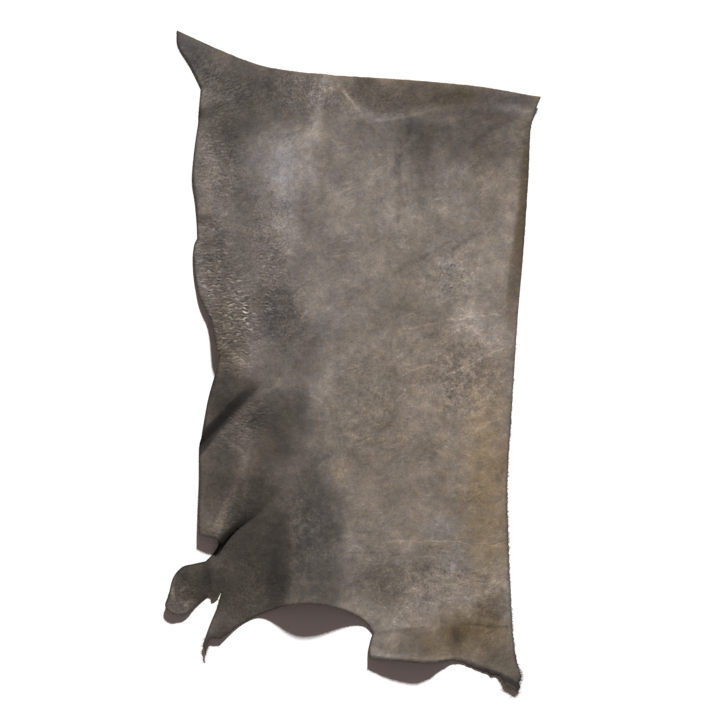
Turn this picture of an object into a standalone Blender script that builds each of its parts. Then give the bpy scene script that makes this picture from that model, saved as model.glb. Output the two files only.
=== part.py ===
"""Half a rustic leather hide, lying grain side up, as a tannery sells it.

The hide is one sheet.  Its outline is a ring of runs, each a knife cut or an edge as the
animal gave it, drawn as a smooth curve through a few corners and turning points.  Each of its
folds is a crest through a few sections, which say how high it stands there and how far it
reaches to either side.  The underside lies on the surface at z = 0 wherever no fold lifts it,
and Solidify gives the sheet its thickness.

Lengths in the tables are millimetres.  +X runs from the belly edge to the back cut, +Y from the
rump to the neck cut, +Z up.  The origin is under the middle of the hide's box.
"""

from typing import NamedTuple

import bpy
import numpy as np
from mathutils import Vector
from mathutils.geometry import delaunay_2d_cdt

MM = 0.001

THICKNESS = 2.2  # of the leather
EDGE_STEP = 8.0  # between the points of the outline
CREST_STEP = 12.0  # between the points of a fold's crest
GRID_STEP = 5.5  # between the points of the sheet where it bends most
EDGE_CLEARANCE = 3.5  # that a point inside keeps from the outline
WELD = 0.001  # points nearer each other than this are one

LEATHER_COLOUR = (0.135, 0.118, 0.100, 1.0)
LEATHER_ROUGHNESS = 0.55


class Spacing(NamedTuple):
    """How close the points of the sheet stand where it bends at least so much."""

    grid_steps: int
    least_bend: float


SPACINGS = [Spacing(6, 0.0), Spacing(2, 0.01), Spacing(1, 0.14)]


class Run(NamedTuple):
    """One stretch of the outline, from a corner to the next run's first corner."""

    name: str
    ragged: float  # how far torn fibres put every second point outwards
    points: list  # (x, y) of the corner and of the turning points after it


# Clockwise, from the point where the neck cut meets the belly edge.
OUTLINE = [
    Run("neck cut", 0.0, [(-264, 494), (-186, 459), (-132, 440), (-75, 431), (0, 424), (116, 416), (197, 408)]),
    Run("back cut", 0.0, [(281, 393), (268, 356), (263, 278), (256, 169), (247, 61), (238, -80), (232, -180),
                          (234, -292), (243, -436)]),
    Run("rump corner", 1.0, [(252, -474), (247, -494), (232, -489)]),
    Run("tail edge", 0.6, [(219, -475), (188, -464), (156, -452), (112, -452), (70, -449)]),
    Run("tail side", 0.0, [(25, -447), (24, -430)]),
    Run("rump arch", 0.0, [(30, -408), (18, -391), (-18, -371), (-62, -362), (-95, -365), (-137, -381),
                           (-167, -396)]),
    Run("hock end", 0.8, [(-198, -418)]),
    Run("hock strip", 0.0, [(-213, -416), (-218, -428), (-220, -441)]),
    Run("hock side", 0.0, [(-224, -424), (-214, -396), (-203, -369)]),
    Run("torn skin", 0.8, [(-197, -346), (-205, -360), (-212, -364), (-214, -356)]),
    Run("shank flap", 0.0, [(-218, -355), (-234, -368), (-250, -381), (-268, -380), (-280, -370), (-275, -348),
                            (-268, -324), (-255, -310), (-239, -306)]),
    Run("flank notch", 0.0, [(-221, -302), (-210, -291), (-201, -275)]),
    Run("flank lobe end", 0.0, [(-204, -266)]),
    Run("flank edge", 0.0, [(-230, -261), (-231, -221), (-230, -175), (-230, -127)]),
    Run("fold side", 0.0, [(-227, -117), (-216, -59), (-205, -20)]),
    Run("fold mouth", 0.0, [(-199, 9)]),
    Run("belly edge", 0.0, [(-204, 22), (-213, 61), (-231, 99), (-239, 150), (-238, 172)]),
    Run("fore belly edge", 0.0, [(-233, 183), (-236, 240), (-240, 275), (-237, 319), (-231, 365)]),
    Run("neck point", 0.0, [(-228, 408), (-243, 438), (-263, 473)]),
]


class Fold(NamedTuple):
    """A swelling of the sheet along a crest.  Left and right are as seen along the crest."""

    name: str
    left_fall: str  # a key of FALLS
    right_fall: str
    sections: list  # (x, y, height of the underside, reach to the left, reach to the right)


FOLDS = [
    Fold("rump arch", "soft", "soft", [
        (-62, -400, 43, 92, 104), (-64, -360, 38, 88, 99), (-66, -315, 28, 84, 93),
        (-69, -270, 17, 76, 82), (-72, -225, 7, 66, 68), (-75, -175, 0, 56, 56)]),
    Fold("tail flap", "curl", "soft", [
        (0, -446, 0, 30, 40), (26, -451, 13, 48, 40), (52, -455, 22, 84, 40), (78, -457, 26, 122, 40),
        (104, -458, 26, 122, 40), (122, -457, 19, 90, 40), (136, -456, 10, 60, 40), (154, -458, 3, 44, 40),
        (178, -464, 0, 40, 40)]),
    Fold("rump corner", "soft", "soft", [
        (190, -482, 0, 30, 30), (222, -490, 4, 34, 30), (246, -498, 6, 40, 30), (268, -506, 6, 40, 30)]),
    Fold("hock end", "soft", "soft", [
        (-232, -446, 8, 40, 40), (-210, -420, 8, 40, 40), (-190, -394, 3, 34, 30), (-178, -376, 0, 30, 26)]),
    Fold("shank flap", "soft", "soft", [
        (-268, -302, 3, 40, 30), (-288, -345, 10, 56, 40), (-286, -380, 13, 60, 40),
        (-262, -396, 10, 52, 30), (-236, -390, 3, 34, 30)]),
    Fold("flank lobe", "soft", "ramp", [
        (-212, -290, 0, 60, 13), (-205, -271, 20, 60, 13), (-196, -245, 20, 60, 19), (-185, -217, 17, 60, 29),
        (-172, -188, 14, 62, 42), (-160, -158, 10, 62, 54), (-150, -130, 6, 60, 58), (-140, -100, 0, 50, 50)]),
    Fold("flank edge", "soft", "soft", [
        (-244, -268, 6, 30, 40), (-244, -225, 5, 30, 44), (-240, -175, 4, 30, 40), (-236, -132, 0, 30, 30)]),
    Fold("fold mouth", "soft", "level", [
        (-238, 48, 13, 70, 300), (-219, 30, 21, 68, 300), (-200, 12, 25, 64, 300), (-186, -1, 23.5, 58, 300),
        (-172, -14, 19, 52, 300), (-158, -28, 11, 46, 300), (-145, -41, 0, 40, 300)]),
    Fold("belly swell", "soft", "soft", [
        (-252, 168, 2, 40, 34), (-254, 140, 6, 40, 42), (-246, 100, 6, 40, 44), (-232, 66, 4, 40, 36),
        (-224, 44, 0, 40, 30)]),
    Fold("fore belly swell", "soft", "soft", [
        (-246, 350, 0, 40, 30), (-252, 310, 5, 40, 44), (-252, 250, 5, 40, 44), (-244, 205, 0, 40, 30)]),
    Fold("neck crease", "soft", "soft", [
        (-252, 388, 4, 26, 20), (-230, 390, 4, 26, 20), (-206, 396, 2, 24, 24), (-184, 402, 0, 24, 24)]),
    Fold("withers ridge", "soft", "soft", [
        (-44, 440, 5, 44, 34), (-52, 390, 5, 46, 40), (-64, 330, 5, 56, 44), (-80, 260, 4, 60, 50),
        (-92, 200, 2, 56, 50), (-98, 150, 0, 50, 50)]),
    Fold("neck lip", "soft", "ramp", [
        (-24, 430, 0, 20, 16), (-8, 427, 4, 20, 34), (10, 425, 8, 20, 52), (40, 423, 10, 20, 59),
        (85, 420, 9, 20, 52), (130, 416, 7, 20, 38), (165, 413, 6, 20, 30), (215, 407, 5, 20, 26),
        (290, 394, 5, 20, 24)]),
    Fold("lip bead", "ramp", "soft", [
        (-22, 415, 0, 9, 30), (-14, 386, 3, 10, 44), (2, 364, 3.5, 10, 50), (34, 351, 3.5, 10, 54),
        (82, 358, 3, 10, 50), (130, 370, 2, 10, 40), (154, 378, 0, 10, 30)]),
    Fold("back curl", "soft", "curl", [
        (286, 400, 7, 20, 30), (268, 356, 8, 20, 26), (264, 278, 8, 20, 26), (258, 180, 6, 20, 24),
        (252, 110, 3, 20, 22), (248, 60, 0, 20, 20)]),
]


def soft(share):
    """Half a cosine wave, level at the crest and where it meets the flat."""
    return 0.5 + 0.5 * np.cos(np.pi * share)


def ramp(share):
    """An even slope from the crest to a sharp valley."""
    return 1.0 - share


def curl(share):
    """Half a parabola, steepest at the crest, as an edge that curls up."""
    return (1.0 - share) ** 2


def level(share):
    """As high as the crest all the way, for a crest that itself comes down to a crease."""
    return np.ones_like(share)


FALLS = {"soft": soft, "ramp": ramp, "curl": curl, "level": level}


def curve_through(rows, step):
    """Rows about step apart on a smooth (centripetal) curve through the rows, the first two of
    whose columns are x and y."""
    rows = np.array(rows, float)
    ends = 2 * rows[[0, -1]] - rows[[1, -2]]
    given = np.vstack([ends[:1], rows, ends[1:]])
    made = []
    for around in zip(given, given[1:], given[2:], given[3:]):
        spans = [np.linalg.norm(b[:2] - a[:2]) for a, b in zip(around, around[1:])]
        knots = np.cumsum([0.0] + [np.sqrt(span) for span in spans])
        count = max(1, round(spans[1] / step))
        at = np.linspace(knots[1], knots[2], count, endpoint=False)[:, None]

        def mix(low, high, first, last):
            span = knots[last] - knots[first]
            return ((knots[last] - at) * low + (at - knots[first]) * high) / span

        one, two, three = (mix(around[i], around[i + 1], i, i + 1) for i in range(3))
        made.append(mix(mix(one, two, 0, 2), mix(two, three, 1, 3), 1, 2))
    return np.vstack(made + [rows[-1:]])


def along_side(at, start, end):
    """The share of the side nearest each point, held to its ends, and the way from there to the point."""
    side = end - start
    share = np.clip((at - start) @ side / (side @ side), 0.0, 1.0)
    return share, at - start - share[:, None] * side


def fold_rise(fold, at):
    """The height that one fold gives the points at, an array of (x, y)."""
    crest = curve_through(fold.sections, CREST_STEP)
    nearest = np.full(len(at), np.inf)
    rise = np.zeros(len(at))
    for here, there in zip(crest, crest[1:]):
        share, way = along_side(at, here[:2], there[:2])
        distance = np.linalg.norm(way, axis=1)
        heading = there[:2] - here[:2]
        on_left = heading[0] * way[:, 1] > heading[1] * way[:, 0]
        height, left, right = (here[2:] + share[:, None] * (there - here)[2:]).T
        fallen = np.where(on_left, FALLS[fold.left_fall](np.clip(distance / left, 0.0, 1.0)),
                          FALLS[fold.right_fall](np.clip(distance / right, 0.0, 1.0)))
        closer = distance < nearest
        rise[closer] = (np.maximum(height, 0.0) * fallen)[closer]
        nearest[closer] = distance[closer]
    return rise


def underside_height(at):
    return sum(fold_rise(fold, at) for fold in FOLDS)


def outline_points():
    """The outline's points in order, with every second point of a ragged run set outwards."""
    made = []
    for run, following in zip(OUTLINE, OUTLINE[1:] + OUTLINE[:1]):
        points = curve_through(run.points + [following.points[0]], EDGE_STEP)[:-1]
        heading = np.roll(points, -1, axis=0) - points
        outwards = np.stack([-heading[:, 1], heading[:, 0]], axis=1)
        outwards /= np.linalg.norm(outwards, axis=1, keepdims=True)
        points[1:-1:2] += run.ragged * outwards[1:-1:2]
        made.append(points)
    return np.vstack(made)


def is_inside(at, ring):
    """Whether each point lies inside the ring: a ray to its right crosses an odd number of sides."""
    inside = np.zeros(len(at), bool)
    for a, b in zip(ring, np.roll(ring, -1, axis=0)):
        crosses = (a[1] > at[:, 1]) != (b[1] > at[:, 1])
        climb = b[1] - a[1] if b[1] != a[1] else WELD
        inside ^= crosses & (at[:, 0] < a[0] + (at[:, 1] - a[1]) * (b[0] - a[0]) / climb)
    return inside


def distance_to(at, ring):
    """How far each point is from the ring's nearest side."""
    nearest = np.full(len(at), np.inf)
    for a, b in zip(ring, np.roll(ring, -1, axis=0)):
        nearest = np.minimum(nearest, np.linalg.norm(along_side(at, a, b)[1], axis=1))
    return nearest


def bend(at):
    """How far the sheet at each point stands off the middle of its neighbours, a grid step away."""
    ways = GRID_STEP * np.array([(1, 0), (-1, 0), (0, 1), (0, -1)])
    return np.abs(underside_height(at) - sum(underside_height(at + way) for way in ways) / len(ways))


def grid_points(ring):
    """Points inside the ring: close together where the sheet bends, and sparse where it is flat."""
    low, high = ring.min(0), ring.max(0)
    columns, rows = np.ceil((high - low) / GRID_STEP).astype(int)
    place = np.stack(np.meshgrid(np.arange(columns), np.arange(rows)), axis=-1).reshape(-1, 2)
    at = low + GRID_STEP * place
    bends = bend(at)
    kept = np.zeros(len(at), bool)
    for spacing in SPACINGS:
        kept |= (place % spacing.grid_steps == 0).all(axis=1) & (bends >= spacing.least_bend)
    at = at[kept]
    return at[is_inside(at, ring) & (distance_to(at, ring) > EDGE_CLEARANCE)]


def sheet_mesh(name):
    """The hide's underside as one surface: a triangulated plan, lifted by the folds."""
    ring = outline_points()
    plan = np.vstack([ring, grid_points(ring)])
    sides = [(i, (i + 1) % len(ring)) for i in range(len(ring))]
    inside_only = 1
    points, _, faces, *_ = delaunay_2d_cdt([Vector(p) for p in plan], sides, [], inside_only, WELD)
    at = np.array([tuple(p) for p in points])
    middle = (at.min(0) + at.max(0)) / 2
    placed = np.column_stack([at - middle, underside_height(at)]) * MM
    mesh = bpy.data.meshes.new(name)
    mesh.from_pydata(placed.tolist(), [], faces)
    mesh.validate()
    return mesh


def leather_material():
    material = bpy.data.materials.new("leather")
    material.use_nodes = True
    shader = material.node_tree.nodes["Principled BSDF"]
    shader.inputs["Base Color"].default_value = LEATHER_COLOUR
    shader.inputs["Roughness"].default_value = LEATHER_ROUGHNESS
    return material


def add_hide():
    mesh = sheet_mesh("hide")
    mesh.materials.append(leather_material())
    mesh.shade_smooth()
    hide = bpy.data.objects.new("hide", mesh)
    bpy.context.scene.collection.objects.link(hide)
    solidify = hide.modifiers.new("thickness", "SOLIDIFY")
    solidify.thickness = THICKNESS * MM
    solidify.offset = 1.0  # the leather stands on the modelled underside
    solidify.use_even_offset = True
    return hide


for leftover in list(bpy.data.objects):
    bpy.data.objects.remove(leftover)
add_hide()
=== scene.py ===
import math
from typing import NamedTuple

import bpy
import numpy as np
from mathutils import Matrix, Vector
from mathutils.geometry import delaunay_2d_cdt


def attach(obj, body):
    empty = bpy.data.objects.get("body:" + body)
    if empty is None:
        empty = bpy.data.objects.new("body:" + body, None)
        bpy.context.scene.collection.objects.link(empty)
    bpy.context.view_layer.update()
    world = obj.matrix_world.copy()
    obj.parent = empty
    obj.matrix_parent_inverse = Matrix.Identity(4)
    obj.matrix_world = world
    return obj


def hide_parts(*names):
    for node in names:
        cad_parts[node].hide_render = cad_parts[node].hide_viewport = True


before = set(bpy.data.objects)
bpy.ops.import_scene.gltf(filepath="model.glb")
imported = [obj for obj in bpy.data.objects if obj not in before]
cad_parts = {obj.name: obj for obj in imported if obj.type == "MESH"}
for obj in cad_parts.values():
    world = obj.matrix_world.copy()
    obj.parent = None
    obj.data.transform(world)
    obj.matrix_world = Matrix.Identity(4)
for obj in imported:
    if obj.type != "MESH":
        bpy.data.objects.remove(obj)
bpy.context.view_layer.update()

# ---------------------------------------------------------------------------------------------
# The cut of the hide.  A bull hide is halved along the spine and trimmed by knife at the neck
# and tail, while the belly edge stays as the animal gave it.  It is one sheet, laid grain side
# up, clockwise here from the point where the neck cut meets the belly edge.  Tables are in mm.

MM = 0.001
EDGE_STEP = 2.0


class Run(NamedTuple):
    """One stretch of the edge, from a corner to the next run's first corner."""

    name: str
    tone: float  # what the cut adds to the log of the brightness
    warmth: float  # what it adds to the golden tint
    points: list  # (x, y) of the corner and of the turning points after it


# Each run's tone and warmth colour the cut and the grain side just inside it: partly the cut's own darker
# colour, partly painted shade on the stretches that face away from the light, which are the darkest, while
# the neck cut, which faces the light, is barely darkened.
OUTLINE = [
    Run("neck cut", -0.05, 0.9, [
        (-264, 494), (-186, 459), (-132, 440), (-75, 431), (0, 424), (116, 416), (197, 408)]),
    Run("back cut", -0.70, 0.8, [(281, 393), (268, 356), (263, 278), (256, 169), (247, 61)]),
    Run("rump cut", -1.10, 0.3, [(238, -80), (232, -180), (234, -292), (243, -436)]),
    Run("rump corner", -1.20, 0.2, [(252, -474), (247, -494), (232, -489)]),
    Run("tail edge", -1.35, 0.2, [(219, -475), (188, -464), (156, -452), (112, -452), (70, -449)]),
    Run("tail side", -1.60, 0.3, [(25, -447), (24, -430)]),
    Run("rump arch", -1.00, 0.3, [
        (30, -408), (18, -391), (-18, -371), (-62, -362), (-95, -365), (-137, -381), (-167, -396)]),
    Run("hock end", -0.80, 0.2, [(-198, -418)]),
    Run("hock strip", -0.60, 0.4, [(-213, -416), (-218, -428), (-220, -441)]),
    Run("hock side", -0.70, 0.2, [(-224, -424), (-214, -396), (-203, -369)]),
    Run("torn skin", 0.30, 0.3, [(-197, -346), (-205, -360), (-212, -364), (-214, -356)]),
    Run("shank flap", -1.20, 0.0, [
        (-218, -355), (-234, -368), (-250, -381), (-268, -380), (-280, -370), (-275, -348), (-268, -324),
        (-255, -310), (-239, -306)]),
    Run("flank notch", -0.90, 0.0, [(-221, -302), (-210, -291), (-201, -275)]),
    Run("flank lobe end", -0.90, 0.0, [(-204, -266)]),
    Run("flank edge", -1.20, 0.0, [(-230, -261), (-231, -221), (-230, -175), (-230, -127)]),
    Run("fold side", -1.20, 0.0, [(-227, -117), (-216, -59), (-205, -20)]),
    Run("fold mouth", -0.40, 0.3, [(-199, 9)]),
    Run("belly edge", -1.35, 0.0, [(-204, 22), (-213, 61), (-231, 99), (-239, 150), (-238, 172)]),
    Run("fore belly edge", -1.45, 0.0, [(-233, 183), (-236, 240), (-240, 275), (-237, 319), (-231, 365)]),
    Run("neck point", -1.45, 0.0, [(-228, 408), (-243, 438), (-263, 473)]),
]


class Wear(NamedTuple):
    """How the edge strays around one place: even bites of the knife, and uneven tears."""

    x: float
    y: float
    reach: float
    bite: float  # depth of the bites
    tear: float  # depth of the tears


BITE_PITCH = 6.6
TEARS = [(9.0, 1.0, 11), (4.6, 0.5, 12)]  # (size of the noise, its share of a tear, seed)
POINTS_AT_ONCE = 4000
LEAST_LENGTH = 0.1  # that the sum of two directions is divided by
EDGE_WEAR = [Wear(*row) for row in [
    # (x, y, reach, bite, tear)
    (-100, 440, 260, 0.1, 0.45), (180, 410, 200, 0.1, 0.35), (262, 260, 200, 0.15, 0.45),
    (240, -60, 150, 0.4, 0.5), (233, -200, 130, 1.1, 0.7), (236, -310, 140, 1.25, 0.8),
    (243, -430, 110, 1.0, 1.0), (249, -486, 36, 0, 2.6), (215, -473, 50, 0, 2.0), (150, -452, 90, 0, 1.1),
    (60, -449, 50, 0, 0.5), (-219, -438, 30, 0, 1.6), (-207, -360, 18, 0, 1.2), (-270, -375, 60, 0, 0.6),
]]


def soft(share):
    """Half a cosine wave: 1 at a share of 0, falling to 0 at a share of 1."""
    return 0.5 + 0.5 * np.cos(np.pi * share)


def curve_through(rows, step):
    """Rows about step apart on a smooth (centripetal) curve through the rows, whose first two columns are x
    and y: between two rows, each pair of straight lines through neighbours is blended by the root of the
    distance, three times over."""
    rows = np.array(rows, float)
    ends = 2 * rows[[0, -1]] - rows[[1, -2]]
    given = np.vstack([ends[:1], rows, ends[1:]])
    made = []
    for around in zip(given, given[1:], given[2:], given[3:]):
        spans = [np.linalg.norm(b[:2] - a[:2]) for a, b in zip(around, around[1:])]
        knots = np.cumsum([0.0] + [np.sqrt(span) for span in spans])
        count = max(1, round(spans[1] / step))
        at = np.linspace(knots[1], knots[2], count, endpoint=False)[:, None]

        def mix(low, high, first, last):
            span = knots[last] - knots[first]
            return ((knots[last] - at) * low + (at - knots[first]) * high) / span

        one, two, three = (mix(around[i], around[i + 1], i, i + 1) for i in range(3))
        made.append(mix(mix(one, two, 0, 2), mix(two, three, 1, 3), 1, 2))
    return np.vstack(made + [rows[-1:]])


def soft_noise(at, cell, seed):
    """Gradient noise, about -1 to 1: each corner of a grid of cells has a seeded slope, and the four slopes
    around a point are mixed by 6s^5 - 15s^4 + 10s^3 of its place in the cell.  It repeats after 128."""
    tile = 128
    gain = 1.5
    turns = np.random.default_rng(seed).uniform(0, 2 * np.pi, (tile, tile))
    place = np.asarray(at) / cell
    corner = np.floor(place).astype(int)
    within = place - corner
    ease = within ** 3 * (within * (within * 6 - 15) + 10)

    def slope_from(dx, dy):
        turn = turns[(corner[:, 0] + dx) % tile, (corner[:, 1] + dy) % tile]
        return np.cos(turn) * (within[:, 0] - dx) + np.sin(turn) * (within[:, 1] - dy)

    low = slope_from(0, 0) + (slope_from(1, 0) - slope_from(0, 0)) * ease[:, 0]
    high = slope_from(0, 1) + (slope_from(1, 1) - slope_from(0, 1)) * ease[:, 0]
    return gain * (low + (high - low) * ease[:, 1])


def edge_ring():
    """The edge's points in order, the way outwards at each, shorter than 1 at a corner, and the run that
    each is on.  They are the smooth outline, moved outwards by bite (|sin(pi s / pitch)| - 1/2), s being the
    way along it, and by tear times two sizes of noise."""
    runs = [curve_through(run.points + [following.points[0]], EDGE_STEP)[:-1]
            for run, following in zip(OUTLINE, OUTLINE[1:] + OUTLINE[:1])]
    smooth = np.vstack(runs)
    heading = np.roll(smooth, -1, axis=0) - np.roll(smooth, 1, axis=0)
    outwards = np.stack([-heading[:, 1], heading[:, 0]], axis=1)
    outwards /= np.linalg.norm(outwards, axis=1, keepdims=True)
    bite, tear = np.zeros((2, len(smooth)))
    for wear in EDGE_WEAR:
        near = soft(np.clip(np.linalg.norm(smooth - wear[:2], axis=1) / wear.reach, 0, 1))
        bite = np.maximum(bite, wear.bite * near)
        tear = np.maximum(tear, wear.tear * near)
    way = np.cumsum(np.linalg.norm(smooth - np.roll(smooth, 1, axis=0), axis=1))
    stray = bite * (np.abs(np.sin(np.pi * way / BITE_PITCH)) - 0.5)
    stray += tear * sum(share * soft_noise(smooth, size, seed) for size, share, seed in TEARS)
    worn = smooth + stray[:, None] * outwards
    after, before = np.roll(worn, -1, axis=0) - worn, worn - np.roll(worn, 1, axis=0)
    after /= np.linalg.norm(after, axis=1, keepdims=True)
    before /= np.linalg.norm(before, axis=1, keepdims=True)
    straight = np.clip((after * before).sum(axis=1), 0.0, 1.0)
    mean = after + before
    mean /= np.maximum(np.linalg.norm(mean, axis=1, keepdims=True), LEAST_LENGTH)
    square_on = np.stack([-mean[:, 1], mean[:, 0]], axis=1)
    return worn, straight[:, None] * square_on, np.repeat(np.arange(len(runs)), [len(run) for run in runs])


def nearest_edge(at):
    """The distance from each point to the closest edge point, and that point's number, from
    |p - r|^2 = |p|^2 - 2 p.r + |r|^2, for a few thousand points at a time."""
    distance, number = np.empty(len(at)), np.empty(len(at), int)
    for start in range(0, len(at), POINTS_AT_ONCE):
        part = slice(start, start + POINTS_AT_ONCE)
        squares = (ring ** 2).sum(axis=1) - 2 * at[part] @ ring.T
        number[part] = squares.argmin(axis=1)
        distance[part] = np.linalg.norm(at[part] - ring[number[part]], axis=1)
    return distance, number


ring, ring_outwards, ring_runs = edge_ring()
plan_middle = (ring.min(0) + ring.max(0)) / 2

# ---------------------------------------------------------------------------------------------
# The lie of the hide.  It was dried over a horse and then laid on a flat table, so the rump
# stands in an arch, the tail end curls, the flank has a fold with a dark mouth, and the neck
# and back edges roll up a little.  The underside lies on the table wherever no fold lifts it.

CREST_STEP = 12.0


class Fold(NamedTuple):
    """A swelling of the sheet along a crest.  Left and right are as seen along the crest."""

    name: str
    left_fall: str  # a key of FALLS
    right_fall: str
    sections: list  # (x, y, height of the underside, reach to the left, reach to the right)
    meeting: float = 0.01  # over how much difference in distance the parts of the crest blend


FOLDS = [
    Fold("rump arch", "soft", "soft", [
        (-62, -400, 43, 92, 104), (-64, -360, 38, 88, 99), (-66, -315, 28, 84, 93),
        (-69, -270, 17, 76, 82), (-72, -225, 7, 66, 68), (-75, -175, 0, 56, 56)]),
    Fold("tail flap", "curl", "soft", [
        (0, -446, 0, 30, 40), (26, -451, 13, 48, 40), (52, -455, 22, 84, 40), (78, -457, 26, 122, 40),
        (104, -458, 26, 122, 40), (122, -457, 19, 90, 40), (136, -456, 10, 60, 40),
        (154, -458, 3, 44, 40), (178, -464, 0, 40, 40)]),
    Fold("rump corner", "soft", "soft", [
        (190, -482, 0, 30, 30), (222, -490, 4, 34, 30), (246, -498, 6, 40, 30), (268, -506, 6, 40, 30)]),
    Fold("hock end", "soft", "soft", [
        (-232, -446, 8, 40, 40), (-210, -420, 8, 40, 40), (-190, -394, 3, 34, 30), (-178, -376, 0, 30, 26)]),
    Fold("shank flap", "soft", "soft", [
        (-268, -302, 3, 40, 30), (-288, -345, 10, 56, 40), (-286, -380, 13, 60, 40),
        (-262, -396, 10, 52, 30), (-236, -390, 3, 34, 30)], meeting=6.0),
    Fold("flank lobe", "soft", "dome", [
        (-212, -290, 0, 60, 12), (-205, -271, 18, 60, 14), (-196, -245, 15.5, 60, 26),
        (-185, -217, 12, 60, 43), (-172, -188, 9.5, 62, 56), (-160, -158, 6.5, 62, 62),
        (-150, -130, 3.5, 60, 60), (-140, -100, 0, 50, 50)]),
    Fold("flank edge", "soft", "soft", [
        (-244, -268, 6, 30, 40), (-244, -225, 5, 30, 44), (-240, -175, 4, 30, 40),
        (-236, -132, 0, 30, 30)]),
    Fold("fold mouth", "soft", "level", [
        (-238, 48, 13, 70, 300), (-219, 30, 21, 68, 300), (-200, 12, 24.5, 64, 300),
        (-187, 0, 22.2, 58, 300), (-173, -14, 17.8, 50, 300), (-160, -27, 12, 42, 300),
        (-150, -37, 6, 32, 300), (-143, -44, 1, 24, 300), (-136, -51, 0, 18, 300)]),
    Fold("belly swell", "soft", "soft", [
        (-252, 168, 2, 40, 34), (-254, 140, 6, 40, 42), (-246, 100, 6, 40, 44), (-232, 66, 4, 40, 36),
        (-224, 44, 0, 40, 30)]),
    Fold("fore belly swell", "soft", "soft", [
        (-246, 350, 0, 40, 30), (-252, 310, 5, 40, 44), (-252, 250, 5, 40, 44), (-244, 205, 0, 40, 30)]),
    Fold("neck crease", "soft", "soft", [
        (-252, 376, 5, 30, 20), (-230, 378, 5, 30, 20), (-208, 384, 3, 28, 22), (-184, 394, 0, 24, 24)]),
    Fold("withers ridge", "soft", "soft", [
        (-44, 440, 5, 44, 34), (-52, 390, 5, 46, 40), (-64, 330, 5, 56, 44), (-80, 260, 4, 60, 50),
        (-92, 200, 2, 56, 50), (-98, 150, 0, 50, 50)]),
    Fold("neck lip", "soft", "ramp", [
        (-24, 430, 0, 20, 16), (-8, 427, 4, 20, 34), (10, 425, 8, 20, 52), (40, 423, 10, 20, 59),
        (85, 420, 9, 20, 52), (130, 416, 7, 20, 38), (165, 413, 6, 20, 30), (215, 407, 5, 20, 26),
        (290, 394, 5, 20, 24)]),
    Fold("lip bead", "ramp", "soft", [
        (-22, 415, 0, 14, 30), (-14, 386, 1.5, 16, 44), (2, 364, 1.6, 18, 50), (34, 351, 1.5, 20, 54),
        (82, 358, 1.3, 20, 50), (130, 370, 1, 20, 40), (154, 378, 0, 20, 30)]),
    Fold("back curl", "soft", "curl", [
        (286, 400, 7, 20, 30), (268, 356, 8, 20, 26), (264, 278, 8, 20, 26), (258, 180, 6, 20, 24),
        (252, 110, 3, 20, 22), (248, 60, 0, 20, 20)]),
]


def ramp(share):
    """Midway between an even slope, 1 - share, and half a cosine."""
    return 0.5 * (1.0 - share) + 0.5 * soft(share)


def curl(share):
    """Half a parabola, as an edge that curls up: (1 - share) squared."""
    return (1.0 - share) ** 2


def dome(share):
    """An edge that bends down to a foot: 1 - share to the power of 1.6."""
    bend = 1.6
    return 1.0 - share ** bend


def level(share):
    """1 at every share."""
    return np.ones_like(share)


FALLS = {"soft": soft, "ramp": ramp, "curl": curl, "dome": dome, "level": level}


def crest_stretches(crest, at):
    """For each stretch of a crest: every point's distance from it, whether the point is on its left, and
    the crest's other columns at the nearest place."""
    for here, there in zip(crest, crest[1:]):
        side = (there - here)[:2]
        share = np.clip((at - here[:2]) @ side / (side @ side), 0.0, 1.0)
        way = at - here[:2] - share[:, None] * side
        on_left = side[0] * way[:, 1] > side[1] * way[:, 0]
        columns = here[2:] + share[:, None] * (there - here)[2:]
        yield np.hypot(way[:, 0], way[:, 1]), on_left, columns.T


def fold_rise(fold, at):
    """The height that one fold gives the points at: that of each stretch of its crest, times the fall at the
    share of the reach that lies between, averaged with weights e^(-distance / meeting)."""
    distances, rises = [], []
    crest = curve_through(fold.sections, CREST_STEP)
    for distance, on_left, (height, left, right) in crest_stretches(crest, at):
        fallen = np.where(on_left, FALLS[fold.left_fall](np.clip(distance / left, 0.0, 1.0)),
                          FALLS[fold.right_fall](np.clip(distance / right, 0.0, 1.0)))
        distances.append(distance)
        rises.append(np.maximum(height, 0.0) * fallen)
    distances = np.array(distances)
    weights = np.exp((distances.min(axis=0) - distances) / fold.meeting)
    return (weights * rises).sum(axis=0) / weights.sum(axis=0)


def underside_height(at):
    """The sum of every fold's rise, each worked out only for the points within its widest reach."""
    height = np.zeros(len(at))
    for fold in FOLDS:
        sections = np.array(fold.sections, float)
        reach = sections[:, 3:].max()
        low, high = sections[:, :2].min(0) - reach, sections[:, :2].max(0) + reach
        near = np.flatnonzero(((at > low) & (at < high)).all(axis=1))
        height[near] += fold_rise(fold, at[near])
    return height


def steepness(at):
    """Rise over run of the underside, from heights three millimetres to either side."""
    step = 3.0
    along_x, along_y = (underside_height(at + way) - underside_height(at - way)
                        for way in (np.array([step, 0.0]), np.array([0.0, step])))
    return np.hypot(along_x, along_y) / (2 * step)


# ---------------------------------------------------------------------------------------------
# The grain.  Tumbled hide is tight and smooth over the back and loose at the belly and neck,
# where it shrinks into fine broken ripples and into pebbles.  Small creases are pressed into
# the grain side, or stand up from it, along the folds and where the hide was once bent.

# An oval place: its middle, half its length, half its width, and the degrees from +X to its length.
OVAL = [("x", float), ("y", float), ("long", float), ("wide", float), ("turn", float)]
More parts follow.
